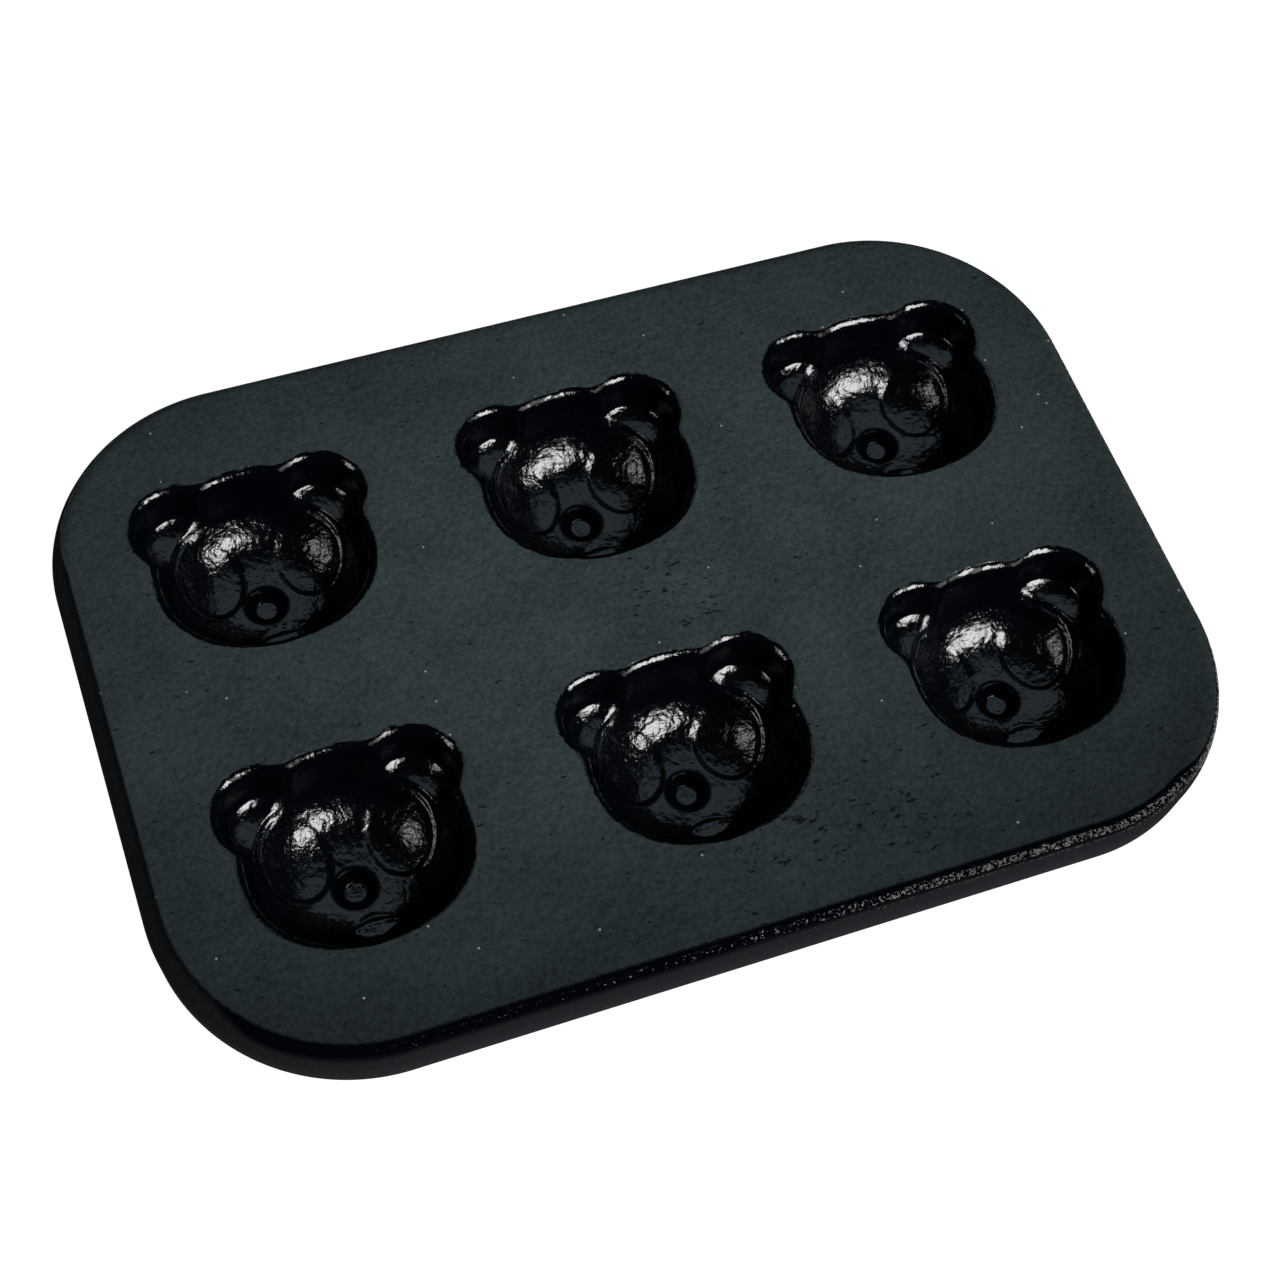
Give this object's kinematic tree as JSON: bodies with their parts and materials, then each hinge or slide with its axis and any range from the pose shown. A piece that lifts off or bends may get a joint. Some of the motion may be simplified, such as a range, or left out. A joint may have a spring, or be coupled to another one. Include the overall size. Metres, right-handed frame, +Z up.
{
  "type": "panda pastry mould",
  "caption": "Cast iron pan that bakes small panda-shaped pastries: a flat deck with a turned-down skirt, and a face-shaped cup under each mouth of the deck.",
  "frame": {"origin": "middle of the pan's outline, at the level of the feet that it stands on", "axes": "+X along the pan's long side, to the right of the pandas seen from above; +Y towards the tops of their heads; +Z up, out of the cavities"},
  "size_m": [0.24, 0.1662, 0.0252],
  "materials": {
    "iron_deck": "matt seasoned cast iron, green-grey on top",
    "iron_cup": "glossy oiled black cast iron"
  },
  "bodies": {
    "root": {"deck": "iron_deck", "panda_cup_front_left": "iron_cup", "panda_cup_front_middle": "iron_cup", "panda_cup_front_right": "iron_cup", "panda_cup_back_left": "iron_cup", "panda_cup_back_middle": "iron_cup", "panda_cup_back_right": "iron_cup"}
  },
  "joints": []
}
